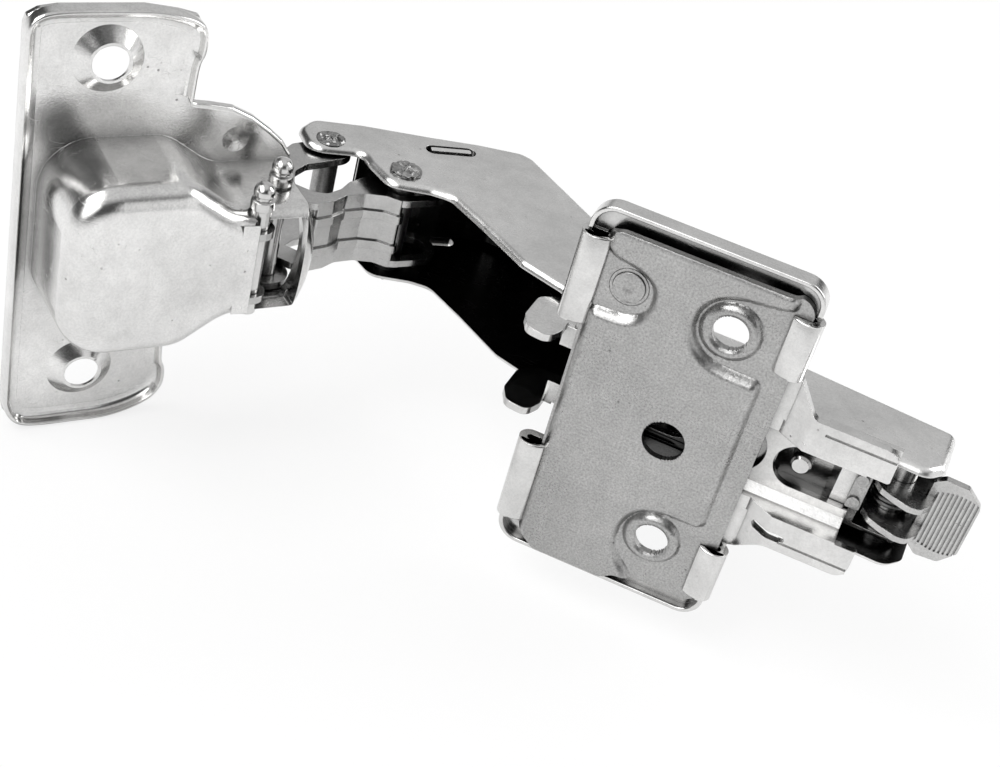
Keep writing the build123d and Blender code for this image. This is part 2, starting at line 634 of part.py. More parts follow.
with BuildPart() as long_link:
    for low in (LONG_Z[0], -LONG_Z[1]):
        with BuildSketch(Plane.XY.offset(low)):
            add(outline(LONG_LINK, 1.2))
            with Locations(C_REAR):
                Circle(LONG_EYE_R)
            add(outline(slotted(P_REAR, EYE_END, 3.4), 3.3))
            with Locations(C_REAR):
                Circle(CUP_PIN_R + RUN, mode=Mode.SUBTRACT)
            add(outline(slotted(P_REAR, EYE_END, P_REAR_R + 0.35), 2.1), mode=Mode.SUBTRACT)
        extrude(amount=LONG_Z[1] - LONG_Z[0])
    with BuildSketch(Plane.XY.offset(-LONG_Z[1])):
        add(outline(LONG_WEB, 0.9))
    extrude(amount=2 * LONG_Z[1])
    # two stiffening beads along the web
    for middle in LINK_BEADS:
        with BuildSketch(Plane.XY.offset(middle - 0.6)):
            offset(outline(LONG_WEB, 0.9), amount=0.3)
        extrude(amount=1.2)
save(long_link.part, "long_link")

# -------------------------------------------------------------- hinge cup
with BuildPart() as hinge_cup:
    # drawn bowl whose sides run on as the nose, cut off round by the cup bore
    with BuildSketch(FLANGE.offset(-CUP_T)):
        add(outline(BOWL, 0))
    extrude(amount=CUP_DEPTH + CUP_T, taper=CUP_TAPER)
    with BuildSketch(FLANGE.offset(-CUP_T)):
        with Locations((BORE_U, 0)):
            Circle(BORE_R)
    extrude(amount=2 * CUP_DEPTH, mode=Mode.INTERSECT)
    bottom = hinge_cup.edges().filter_by(lambda e: abs(height_of(e) - CUP_DEPTH) < 0.01)
    fillet(bottom, CUP_EDGE)
    # flange with its ears
    with BuildSketch(FLANGE.offset(-CUP_T)):
        add(outline(FLANGE_RIM + mirrored(FLANGE_RIM), 0.8))
    extrude(amount=CUP_T)
    # turned edge round the flange, none at the ears
    with BuildSketch(FLANGE.offset(-CUP_T - SKIRT)):
        add(outline(FLANGE_RIM + mirrored(FLANGE_RIM), 0.8))
        offset(outline(FLANGE_RIM + mirrored(FLANGE_RIM), 0.8), amount=-0.9,
               mode=Mode.SUBTRACT)
        with Locations((20.6, 0)):
            Rectangle(20.0, 35.0, mode=Mode.SUBTRACT)
    extrude(amount=SKIRT)
    # hollow of the bowl and the nose
    with BuildSketch(FLANGE.offset(-CUP_T - 0.01)):
        offset(outline(BOWL, 0), amount=-CUP_T)
        with Locations((BORE_U, 0)):
            Circle(BORE_R - CUP_T, mode=Mode.INTERSECT)
    hollow = extrude(amount=CUP_DEPTH + 0.01, taper=CUP_TAPER, mode=Mode.PRIVATE)
    floor = hollow.edges().filter_by(lambda e: abs(height_of(e) - CUP_DEPTH + CUP_T) < 0.01)
    add(hollow.fillet(CUP_EDGE - CUP_T, floor), mode=Mode.SUBTRACT)
    # the links pass out above the lip of the nose and through its bottom
    with BuildSketch(FLANGE.offset(-2)):
        with Locations((BORE_U + BORE_R, 0)):
            Rectangle(8.0, 2 * WINDOW[2])
    extrude(amount=NOSE_LIP + 2, mode=Mode.SUBTRACT)
    with BuildSketch(FLANGE.offset(CUP_DEPTH - 3.0)):
        with Locations(((WINDOW[0] + WINDOW[1]) / 2, 0)):
            RectangleRounded(WINDOW[1] - WINDOW[0], 2 * WINDOW[2], 0.6)
        # room for the eyes of the long link
        with Locations((WINDOW[0], LONG_EYE_Z), (WINDOW[0], -LONG_EYE_Z)):
            RectangleRounded(2 * EYE_NOTCH, 1.6, 0.6)
    extrude(amount=5, mode=Mode.SUBTRACT)
    # bend round the mouth of the bowl and round the edge of the flange
    mouth = hinge_cup.edges().filter_by(lambda e: abs(height_of(e) + CUP_T) < 0.01)
    inner = mouth.filter_by(lambda e: abs(e.center().Z) < 12 and flat_u(e) < 20)
    fillet(inner, CUP_BLEND)
    outer = hinge_cup.edges().filter_by(lambda e: abs(height_of(e)) < 0.01)
    fillet(outer.filter_by(lambda e: abs(e.center().Z) > 14 or flat_u(e) < -8), FLANGE_EDGE)
    # countersunk flange screws and the dimple of each ear
    for side in (1, -1):
        with Locations(FLANGE * Location((0, side * CUP_SCREW_Z, 0))):
            Cone(*CUP_CONE, align=(Align.CENTER, Align.CENTER, Align.MIN))
        with Locations(FLANGE * Location((0, side * CUP_SCREW_Z, -CUP_T))):
            Cone(CUP_CONE[0] + 0.1, CUP_HOLE_R, CUP_T + CUP_CONE[2] - 0.4,
                 align=(Align.CENTER, Align.CENTER, Align.MIN), mode=Mode.SUBTRACT)
            Cylinder(CUP_HOLE_R, 8, mode=Mode.SUBTRACT)
        with Locations(FLANGE * Location((17.2, side * 10.9, -0.3))):
            Cone(0.5, 1.8, 0.31, align=(Align.CENTER, Align.CENTER, Align.MIN),
                 mode=Mode.SUBTRACT)
    for at in CUP_PINS:
        with Locations(cup_point(*at)):
            Cylinder(CUP_PIN_R + 0.02, 20, mode=Mode.SUBTRACT)
save(hinge_cup.part, "hinge_cup")

with BuildPart() as cup_pin:
    with BuildLine() as staple:
        add(rounded(((*C_REAR, PIN_TOP), (*C_REAR, PIN_BEND),
                     (*C_FRONT, PIN_BEND), (*C_FRONT, PIN_TOP)), 1.6, False))
    with BuildSketch(Plane(origin=(*C_REAR, PIN_TOP), z_dir=(0, 0, -1))):
        Circle(CUP_PIN_R)
    sweep()
    # riveted collar against the nose and a waist under each tip
    for at in (C_REAR, C_FRONT):
        with Locations((*at, 8.55)):
            Cylinder(CUP_PIN_R + 0.25, 1.3)
        with Locations((*at, 9.5)):
            Cylinder(CUP_PIN_R + 0.2, 0.35, mode=Mode.SUBTRACT)
            Cylinder(CUP_PIN_R - 0.25, 0.35)
    chamfer(cup_pin.edges().group_by(Axis.Z)[-1], 0.5)
save(cup_pin.part, "cup_pin")
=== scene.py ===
import math
import random
import bpy
import bmesh
import numpy as np
from mathutils import Matrix, Vector


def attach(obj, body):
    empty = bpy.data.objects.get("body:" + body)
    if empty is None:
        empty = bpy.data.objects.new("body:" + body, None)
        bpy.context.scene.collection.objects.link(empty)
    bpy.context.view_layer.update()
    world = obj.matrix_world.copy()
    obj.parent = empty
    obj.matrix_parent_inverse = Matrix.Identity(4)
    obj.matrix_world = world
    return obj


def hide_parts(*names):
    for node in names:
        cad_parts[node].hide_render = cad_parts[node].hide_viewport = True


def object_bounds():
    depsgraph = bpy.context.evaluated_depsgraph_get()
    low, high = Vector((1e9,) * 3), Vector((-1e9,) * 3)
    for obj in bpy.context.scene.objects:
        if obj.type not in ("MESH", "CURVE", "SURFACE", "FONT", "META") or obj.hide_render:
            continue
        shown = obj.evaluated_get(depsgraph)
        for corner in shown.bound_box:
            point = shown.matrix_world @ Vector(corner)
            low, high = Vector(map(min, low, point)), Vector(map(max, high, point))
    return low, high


MM = 0.001
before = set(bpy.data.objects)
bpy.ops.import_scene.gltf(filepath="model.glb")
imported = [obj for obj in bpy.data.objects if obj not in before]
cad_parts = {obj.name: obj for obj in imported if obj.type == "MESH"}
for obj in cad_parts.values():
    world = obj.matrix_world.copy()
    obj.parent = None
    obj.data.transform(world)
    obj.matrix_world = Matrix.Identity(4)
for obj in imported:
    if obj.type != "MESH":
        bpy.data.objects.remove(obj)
cad_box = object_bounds()


# ------------------------------------------------------------------ camera
# solved from the photograph: sizes in its pixels, place in millimetres, axes
PHOTO_WIDTH = 1000.0
FOCAL_LENGTH = 1623.6
SENSOR = 36.0
VIEW_FROM = Vector((6.649, -156.915, 112.239))
VIEW_RIGHT = Vector((0.912208, 0.341548, 0.226321))
VIEW_DOWN = Vector((0.379606, -0.496641, -0.780543))
VIEW_AHEAD = Vector((-0.154193, 0.797930, -0.582693))


def set_camera():
    data = bpy.data.cameras.new("camera")
    data.sensor_fit = "HORIZONTAL"
    data.sensor_width = SENSOR
    data.lens = SENSOR * FOCAL_LENGTH / PHOTO_WIDTH
    data.clip_start = 0.005
    cam = bpy.data.objects.new("camera", data)
    place = Matrix.Identity(4)
    for col, axis in enumerate((VIEW_RIGHT, -VIEW_DOWN, -VIEW_AHEAD)):
        for row in range(3):
            place[row][col] = axis[row]
    place.translation = VIEW_FROM * MM
    cam.matrix_world = place
    bpy.context.scene.collection.objects.link(cam)
    bpy.context.scene.camera = cam


# --------------------------------------------------------------- materials
class Nodes:
    """Small helper that adds and wires shader nodes by name."""

    def __init__(self, owner, shader="Principled BSDF", out="Material Output"):
        owner.use_nodes = True
        self.tree = owner.node_tree
        self.shader = self.tree.nodes[shader]
        self.out = self.tree.nodes[out]

    def feed(self, value, socket):
        """Links a socket to another one, or sets it to a constant."""
        if isinstance(value, bpy.types.NodeSocket):
            self.tree.links.new(value, socket)
        else:
            socket.default_value = value

    def add(self, kind, **values):
        """New node: in_NAME or in_NUMBER feeds an input, any other name is a setting."""
        node = self.tree.nodes.new(kind)
        for key, value in values.items():
            if key.startswith("in_"):
                name = key[3:]
                place = int(name) if name.isdigit() else name.replace("_", " ")
                self.feed(value, node.inputs[place])
            else:
                setattr(node, key, value)
        return node

    def ramp(self, value, stops):
        node = self.add("ShaderNodeValToRGB", in_Fac=value)
        elements = node.color_ramp.elements
        while len(elements) < len(stops):
            elements.new(1.0)
        for element, (place, shade) in zip(elements, stops):
            element.position = place
            element.color = (shade, shade, shade, 1.0)
        return node.outputs["Color"]

    def math(self, kind, *values):
        node = self.add("ShaderNodeMath", operation=kind)
        for socket, value in zip(node.inputs, values):
            self.feed(value, socket)
        return node.outputs[0]

    def noise(self, vector, scale, detail, roughness=0.5):
        node = self.add("ShaderNodeTexNoise", in_Vector=vector, in_Scale=scale,
                        in_Detail=detail, in_Roughness=roughness)
        return node.outputs["Fac"]


# scales, per metre, of the patterns in the plating
CLOUDS = 85.0
STAINS = 420.0
GRAIN = 3600.0
ROLLED = (300.0, 1400.0, 5200.0)
DOTS = 520.0
DOT_PATCHES = 310.0
PITS = 2300.0
HAIRS = (70.0, 640.0, 700.0)
# hair scratches: direction, how sparse they are, scale of the patches they lie in
HAIR_SETS = (((0.4, 0.9, 0.3), 0.56, 338.0), ((1.3, 0.2, 1.1), 0.60, 350.0))
HAIR_LEVEL = 0.52               # value of the stretched noise along a scratch
TINT = (1.0, 0.995, 0.985, 1.0)
SPECK_COLOUR = (0.05, 0.05, 0.05, 1.0)
PAINTED_SHADOW_LEVEL = 0.09                     # part of the shade left where shadow is painted dark inside
BUMP_HEIGHT = 0.00002
EDGE_RADIUS = 0.0001


def metal(name, shade, rough, grain=0.3, speck=0.4, scratch=0.4, pits=0.0, painted_shade=0.75,
          reach=0.007, inside=None):
    """Plated pressed steel: cloudy sheen, fine grain, hair scratches, specks, painted shade in
    crevices.

    reach is the width in metres up to which a hollow is darkened as painted shade; painted_shade
    sets how dark. inside, when given, is a function that returns a mask of where shadow is painted
    dark.
    """
    mat = bpy.data.materials.new(name)
    n = Nodes(mat)
    where = n.add("ShaderNodeTexCoord").outputs["Object"]
    clouds = n.noise(where, CLOUDS, 4.0)
    stains = n.noise(where, STAINS, 5.0, 0.65)
    fine = n.noise(where, GRAIN, 2.0, 0.75)
    stretch = n.add("ShaderNodeMapping", in_Vector=where, in_Scale=ROLLED)
    rolled = n.noise(stretch.outputs[0], 1.0, 2.0)
    # hair scratches: thin lines where a stretched noise crosses one value, in patches
    hairs = []
    for turn, sparse, patches in HAIR_SETS:
        bend = n.add("ShaderNodeMapping", in_Vector=where, in_Scale=HAIRS, in_Rotation=turn)
        lines = n.noise(bend.outputs[0], 1.0, 1.0)
        off = n.math("ABSOLUTE", n.math("SUBTRACT", lines, HAIR_LEVEL))
        patch = n.noise(where, patches, 2.0)
        hairs.append(n.math("MULTIPLY", n.ramp(off, ((0.0, 1.0), (0.003, 0.6), (0.007, 0.0))),
                            n.ramp(patch, ((sparse, 0.0), (sparse + 0.08, 1.0)))))
    hair = n.math("MAXIMUM", *hairs)
    # dark specks, most of them tiny
    dots = n.add("ShaderNodeTexVoronoi", in_Vector=where, in_Scale=DOTS)
    keep = n.noise(where, DOT_PATCHES, 1.0)
    speckle = n.math("MULTIPLY", n.ramp(dots.outputs["Distance"], ((0.05, 1.0), (0.12, 0.0))),
                     n.ramp(keep, ((0.57, 0.0), (0.62, 1.0))))
    # painted shade: the colour is darkened in crevices and hollows by ambient occlusion
    shut = n.add("ShaderNodeAmbientOcclusion", samples=8, in_Distance=reach)
    painted_crevice_shade = n.ramp(shut.outputs["AO"], ((0.0, 1.0 - painted_shade), (0.3, 1.0 - 0.75 * painted_shade),
                                           (0.75, 1.0)))
    tone = n.ramp(clouds, ((0.3, shade * 0.9), (0.7, min(shade * 1.08, 1.0))))
    veil = n.ramp(stains, ((0.35, 1.0), (0.7, 0.88)))
    grey = n.math("MULTIPLY", n.math("MULTIPLY", tone, veil), painted_crevice_shade)
    grit = n.ramp(fine, ((0.35, 1.0 - 0.35 * grain), (0.65, 1.0)))
    grey = n.math("MULTIPLY", grey, grit)
    # painted shadow: the colour is darkened where the mask from inside says the part lies in shade
    if inside:
        grey = n.math("MULTIPLY", grey, n.ramp(inside(n), ((0.0, 1.0), (1.0, PAINTED_SHADOW_LEVEL))))
    dark = n.math("MULTIPLY", n.math("MAXIMUM", speckle, n.math("MULTIPLY", hair, 0.35)), speck)
    mix = n.add("ShaderNodeMix", data_type="RGBA", in_Factor=dark, in_6=grey,
                in_7=SPECK_COLOUR)
    warm = n.add("ShaderNodeMix", data_type="RGBA", blend_type="MULTIPLY", in_0=1.0,
                 in_6=mix.outputs[2], in_7=TINT)
    n.feed(warm.outputs[2], n.shader.inputs["Base Color"])
    n.shader.inputs["Metallic"].default_value = 1.0
    level = n.math("ADD", n.ramp(clouds, ((0.3, rough * 0.8), (0.7, rough * 1.25))),
                   n.math("MULTIPLY", fine, grain * 0.12))
    level = n.math("ADD", level, n.math("MULTIPLY", speckle, 0.3))
    level = n.math("ADD", level, n.math("MULTIPLY", n.math("SUBTRACT", 1.0, veil), 0.5))
    n.feed(n.math("ADD", level, n.math("MULTIPLY", hair, 0.15 * scratch)),
           n.shader.inputs["Roughness"])
    height = n.math("ADD", n.math("MULTIPLY", rolled, 0.35), fine)
    height = n.math("SUBTRACT", height, n.math("MULTIPLY", hair, scratch))
    height = n.math("SUBTRACT", height, n.math("MULTIPLY", speckle, 0.8 * speck))
    if pits:
        rash = n.noise(where, PITS, 1.0)
        height = n.math("ADD", height, n.math("MULTIPLY", rash, pits))
    soft = n.add("ShaderNodeBevel", samples=6, in_Radius=EDGE_RADIUS)
    bump = n.add("ShaderNodeBump", in_Strength=grain, in_Distance=BUMP_HEIGHT, in_Height=height,
                 in_Normal=soft.outputs[0])
    n.feed(bump.outputs[0], n.shader.inputs["Normal"])
    return mat


# masks of painted shadow, in metres of the part at rest, so that they move with their piece
ARM_HALF_WIDTH = 0.00682        # up to the outer faces of the arm's walls
TAB_HALF_WIDTH = 0.0069         # up to the ends of the spring's tabs
BRIDGE_HALF_WIDTH = 0.0062
BRIDGE_DEPTH = 0.0022
BRIDGE_END = 0.007


def part_place(n):
    """X, Y and Z of the shaded point in the part at rest."""
    return n.add("ShaderNodeSeparateXYZ",
                 in_0=n.add("ShaderNodeTexCoord").outputs["Object"]).outputs


def between(n, place, half_width):
    """Mask of what lies within half_width of the middle plane."""
    return n.math("LESS_THAN", n.math("ABSOLUTE", place[2]), half_width)


def channel_inside(n):
    """Mask of the faces that look into the arm's channel, painted dark as its shadow."""
    place = part_place(n)
    point = n.add("ShaderNodeNewGeometry")
    normal = n.add("ShaderNodeSeparateXYZ", in_0=point.outputs["True Normal"])
    wall = n.math("LESS_THAN", n.math("MULTIPLY", place[2], normal.outputs[2]), -0.001)
    crest = n.math("LESS_THAN", normal.outputs[1], -0.12)
    return n.math("MULTIPLY", n.math("MAXIMUM", wall, crest), between(n, place, ARM_HALF_WIDTH))


def spring_inside(n):
    """Mask of all but the ends of the spring's tabs: the part within the arm is painted dark as
    shadow.
    """
    return between(n, part_place(n), TAB_HALF_WIDTH)


def bridge_inside(n):
    """Mask of the hollow under the wing plate's bridge, behind the cabinet plate, painted dark as
    shadow.
    """
    place = part_place(n)
    deep = n.math("GREATER_THAN", place[1], BRIDGE_DEPTH)
    return n.math("MULTIPLY", n.math("MULTIPLY", deep, between(n, place, BRIDGE_HALF_WIDTH)),
                  n.math("LESS_THAN", place[0], BRIDGE_END))


def dress(names, mat):
    """Gives nodes that are shown as they are one material."""
    for name in names:
        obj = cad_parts[name]
        obj.data.materials.clear()
        obj.data.materials.append(mat)


# ------------------------------------------------------------------ shapes
# cup frame: u across the flange, w into the door, z along the pins, in millimetres
CUP_AT = Vector((-77.405, -4.869, 0.0))
CUP_U = Vector((0.6647, 0.7471, 0.0))
CUP_W = Vector((0.7471, -0.6647, 0.0))
FLANGE_ENDS = (30.55, 29.0)     # its lower and upper end
FLANGE_SOLID_END = 30.6         # both ends in the solid
FLANGE_KEEP = 27.0              # its screw holes lie within this
FLANGE_SHEET = 1.0
SKIRT_DEPTH = 1.01              # what reaches further out is the solid's own turned edge
CUP_PINS = ((17.0, 10.9), (21.4, 5.7))
PIVOT = Vector((24.5, 7.4, 0.0))
# link pins: node, piece, body, place, radius, head section from its rim to its middle
LINK_PINS = (("front_link_pin", "front_peened_pin", "short_link", (-58.9, 22.2), 1.6,
              ((1.95, 7.72), (2.0, 7.92), (1.75, 8.05), (1.4, 7.95), (1.15, 7.8), (0.9, 8.0),
               (0.6, 8.12), (0.3, 8.1), (0.02, 8.1))),
             ("rear_link_pin", "rear_peened_pin", "arm", (-47.7, 21.6), 1.8,
              ((2.1, 7.7), (2.2, 7.85), (2.0, 7.98), (2.18, 8.1), (1.95, 8.3), (1.5, 8.4),
               (0.9, 8.32), (0.4, 8.4), (0.02, 8.38))))
# right-hand side, end and left edge of the flange, (u, z)
RIM_PATH = ((10.6, 17.4), (10.8, 22.3), (11.4, 23.2), (11.5, 25.8), (10.8, 27.4), (8.3, 28.4),
            (4.2, 29.1), (0.0, 29.1), (-6.2, 29.1), (-8.5, 28.6), (-9.8, 27.3), (-9.9, 25.2),
            (-9.9, 12.0))
# section of the turned edge: distance in from the outline, height over the flange
RIM_SECTION = ((0.0, -0.5), (-0.04, 0.2), (-0.02, 0.95), (0.05, 1.28), (0.18, 1.41),
               (0.32, 1.45), (0.46, 1.38), (0.54, 1.18), (0.6, 0.8), (0.78, 0.42), (1.1, 0.16),
               (1.5, 0.04), (2.0, 0.0), (2.0, -0.3))
# the bottom sheet laps over the near pin at the window: (u, w) section and its z
LAP_SECTION = ((14.2, 12.8), (15.2, 12.87), (15.8, 12.92), (16.2, 12.93), (16.34, 12.91),
               (16.33, 12.875), (15.4, 12.86), (14.2, 12.7))
LAP_Z = (-6.45, 0.0, 6.6)
# half section of the cup pins, (radius, z): foot, shank, collar, neck and domed tip
PIN_SECTION = ((0.02, -7.5), (0.8, -7.48), (1.2, -7.3), (1.25, -7.0), (1.25, 7.9),
               (1.5, 7.95), (1.52, 8.6), (1.45, 9.1), (1.05, 9.3), (1.0, 9.5),
               (1.05, 9.7), (1.32, 9.85), (1.34, 10.3), (1.2, 10.75), (0.85, 11.15),
               (0.4, 11.36), (0.02, 11.4))


def cup_place(u, w, z):
    """Place in metres of a point of the cup's frame."""
    return (CUP_AT + CUP_U * u + CUP_W * w + Vector((0, 0, z))) * MM


def corner_cut(points, times):
    """Rounds an open line by cutting its corners again and again."""
    points = [Vector(p) for p in points]
    for _ in range(times):
        cut = [points[0]]
        for a, b in zip(points, points[1:]):
            cut += [a.lerp(b, 0.25), a.lerp(b, 0.75)]
        points = cut + [points[-1]]
    return points


def finish_mesh(bm, name, material, angle=35):
    """Turns a bmesh into a shaded object."""
    bmesh.ops.recalc_face_normals(bm, faces=bm.faces)
    mesh = bpy.data.meshes.new(name)
    bm.to_mesh(mesh)
    bm.free()
    mesh.shade_smooth()
    mesh.set_sharp_from_angle(angle=math.radians(angle))
    mesh.materials.append(material)
    obj = bpy.data.objects.new(name, mesh)
    bpy.context.scene.collection.objects.link(obj)
    return obj


def skin(bm, rings, closed=False):
    """Quads between rings of points, capped at both ends unless the run is closed."""
    verts = [[bm.verts.new(p) for p in ring] for ring in rings]
    count = len(verts[0])
    for a, b in zip(verts, verts[1:] + verts[:1] if closed else verts[1:]):
        for i in range(count):
            j = (i + 1) % count
            bm.faces.new((a[i], a[j], b[j], b[i]))
    if not closed:
        bm.faces.new(verts[0])
        bm.faces.new(verts[-1])


def tube(bm, line, radius, sides=12):
    """Round wire along a line of points in metres."""
    rings = []
    side = None
    for i, point in enumerate(line):
        ahead = (line[min(i + 1, len(line) - 1)] - line[max(i - 1, 0)]).normalized()
        if side is None:
            side = ahead.orthogonal()
        side = (side - ahead * side.dot(ahead)).normalized()
        up = ahead.cross(side)
        rings.append([point + radius * (math.cos(t) * side + math.sin(t) * up)
                      for t in (2 * math.pi * k / sides for k in range(sides))])
    skin(bm, rings)


def turned(bm, at, profile, sides=40):
    """Solid of revolution about a line along Z, from (radius, z) in millimetres."""
    rings = [[Vector((at[0] + r * math.cos(t), at[1] + r * math.sin(t), z)) * MM
              for t in (2 * math.pi * k / sides for k in range(sides))] for r, z in profile]
    skin(bm, rings)


def make_cup(material):
    """The node's bowl with a shorter flange, a turned edge and the lap at the window."""
    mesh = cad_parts["hinge_cup"].data.copy()
    bm = bmesh.new()
    bm.from_mesh(mesh)
    skirt = set()
    for vert in bm.verts:
        depth = (vert.co - CUP_AT * MM).dot(CUP_W)
        if depth < -SKIRT_DEPTH * MM:
            vert.co -= CUP_W * (depth + FLANGE_SHEET * MM)
            skirt.add(vert)
        end = FLANGE_ENDS[vert.co.z > 0]
        far = abs(vert.co.z) - FLANGE_KEEP * MM
        if far > 0:
            stretch = (end - FLANGE_KEEP) / (FLANGE_SOLID_END - FLANGE_KEEP)
            vert.co.z = math.copysign(FLANGE_KEEP * MM + far * stretch, vert.co.z)
    bmesh.ops.remove_doubles(bm, verts=list(skirt), dist=0.02 * MM)
    bm.to_mesh(mesh)
    bm.free()
    mesh.materials.clear()
    mesh.materials.append(material)
    bowl = bpy.data.objects.new("cup_shell", mesh)
    bpy.context.scene.collection.objects.link(bowl)
    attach(bowl, "cup")
    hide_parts("hinge_cup")

    half = corner_cut(RIM_PATH, 3)
    longer = (FLANGE_ENDS[0] - FLANGE_KEEP) / (FLANGE_ENDS[1] - FLANGE_KEEP)
    path = half + [Vector((p.x, -p.y - max(p.y - FLANGE_KEEP, 0) * (longer - 1)))
                   for p in reversed(half)]
    bm = bmesh.new()
    rings = []
    for i, point in enumerate(path):
        ahead = (path[min(i + 1, len(path) - 1)] - path[max(i - 1, 0)]).normalized()
        inward = Vector((-ahead.y, ahead.x))
        ring = []
        for margin, height in RIM_SECTION:
            u, z = point + inward * margin
            ring.append(cup_place(u, height, z))
        rings.append(ring)
    skin(bm, rings)
    skin(bm, [[cup_place(u, w, z) for u, w in LAP_SECTION] for z in LAP_Z])
    rim = finish_mesh(bm, "flange_turned_edge", material, 50)
    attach(rim, "cup")


# raised contact face of the cabinet plate, (x, z) around its outline
PLATEAU = ((-15.5, -26.0), (-0.6, -26.0), (-1.6, -23.2), (-3.8, -21.4), (-5.2, -18.4),
           (-5.0, -15.0), (-3.4, -12.2), (-0.4, -10.9), (3.6, -10.9), (4.6, -10.9), (4.6, -9.9),
           (4.6, 9.5), (4.6, 10.3), (3.8, 10.3), (-1.2, 10.4), (-4.0, 12.4), (-5.2, 15.6),
           (-4.4, 18.8), (-1.5, 21.2), (5.0, 21.8), (5.2, 22.6), (5.0, 23.2), (-14.8, 23.2),
           (-15.5, 23.2), (-15.5, 22.4), (-15.5, 20.3), (-11.4, 20.0), (-8.7, 17.9),
           (-8.7, 14.1), (-11.0, 11.9), (-14.8, 11.7), (-15.5, 11.7), (-15.5, 10.9))
PLATE_X = (-16.8, 8.0)
PLATE_Z = 23.3
PLATE_SHEET = 0.9
PLATE_BACK = 1.1                # depth of its lower face behind the raised one
PLATE_ROUND = 2.2
PLATE_STEP = 0.17
CAM_AT = (-12.6, 16.4)
SCREW_Z = 16.0
# holes of the plate: x, z, radius
PLATE_HOLES = ((0.0, SCREW_Z, 2.15), (0.0, -SCREW_Z, 2.15), (-2.8, -1.0, 2.65), (*CAM_AT, 1.8))
PAD_SLOPE = (-0.95, 0.45)
# lip round a screw hole: reach of its effect, outer slope, its rise, inner slope, its fall
LIP_REACH = 4.2
LIP_OUTER, LIP_RISE = (3.75, 2.7), 0.85
LIP_INNER, LIP_FALL = (2.65, 2.15), 0.3
# lower end that reaches on: by how much, its right and left slope in x, where it starts in z
END_MORE = 1.2
END_RIGHT, END_LEFT, END_FROM = (-2.4, -5.0), (-15.6, -13.4), -19.5
END_THINNER, END_THIN_Z = 0.14, (-22.0, -23.2)
TINY = 1e-6

# rolled tabs: side towards the plate, (crest x, inner x), (lower z, upper z)
TABS = ((1, (-18.3, -16.1), (9.7, 21.5)), (1, (-18.3, -16.1), (-21.5, -9.2)),
        (-1, (7.86, 5.8), (13.3, 21.0)), (-1, (7.86, 5.8), (-21.7, -14.0)))
TAB_LEAF = 0.97                 # depth of the leaf behind a roll
TAB_CREST = 0.012
TAB_BACK = 1.02
TAB_R = 1.57                    # roll outside the crest
TAB_OUT = (1.1, 0.85, 0.6, 0.4, 0.2)
TAB_DEPTH, TAB_SPREAD = 1.45, 0.35      # roll inside the crest
TAB_STEPS = 14
TAB_ENDS = ((0.0, 0.22), (0.07, 0.08), (0.2, 0.0))      # distance from an end, its fall
# part of the solid's tabs that is laid back: margin in z, range outside the crest
TAB_MARGIN, TAB_RANGE = 0.1, (0.05, 2.6)
# rivet of the cam: depth its head ends at, how much lower it sits, radius of its middle,
# and new radius: (start, old start, growth) within that, (start, growth) outside it
HEAD_DEPTH, HEAD_LOWER, HEAD_MIDDLE = 1.0, 0.5, 0.85
HEAD_WITHIN, HEAD_OUTSIDE = (0.12, 0.2, 2.63), (1.72, 0.16)
# link pins: half length of the shank, where a head starts, radius that stays smooth,
# how far points move along the radius and along z
SHANK_END, PEEN_FROM, PEEN_MIDDLE = 7.6, 7.75, 0.3
PEEN_OUT, PEEN_IN = (-0.3, 0.04), (0, 0.3)
# spring of the lever
COIL_TURNS, COIL_STEPS = 4.0, 40
COIL_R, COIL_WIRE, COIL_HALF = 2.3, 0.3, 1.25
COIL_LEGS = (((0.2, -2.0), (0.05, -0.6)), ((0.05, 0.6), (0.2, 1.9)))    # (out, y)


def crown(low, high, value, power=2.2):
    """Slope that starts with a crease and ends softly."""
    return 1 - (1 - np.clip((value - low) / (high - low), 0, 1)) ** power


def smooth(low, high, value):
    """Slope that starts and ends softly."""
    t = np.clip((value - low) / (high - low), 0, 1)
    return t * t * (3 - 2 * t)


def inside_distance(points, x, z):
    """Distance of grid points from a closed outline, positive within it."""
    near = np.full(x.shape, 1e9)
    within = np.zeros(x.shape, bool)
    for (ax, az), (bx, bz) in zip(points, points[1:] + points[:1]):
        dx, dz = bx - ax, bz - az
        t = np.clip(((x - ax) * dx + (z - az) * dz) / (dx * dx + dz * dz), 0, 1)
        near = np.minimum(near, np.hypot(x - ax - t * dx, z - az - t * dz))
        with np.errstate(divide="ignore", invalid="ignore"):
            cross = ((az > z) != (bz > z)) & (x < dx * (z - az) / dz + ax)
        within ^= cross
    return np.where(within, near, -near)


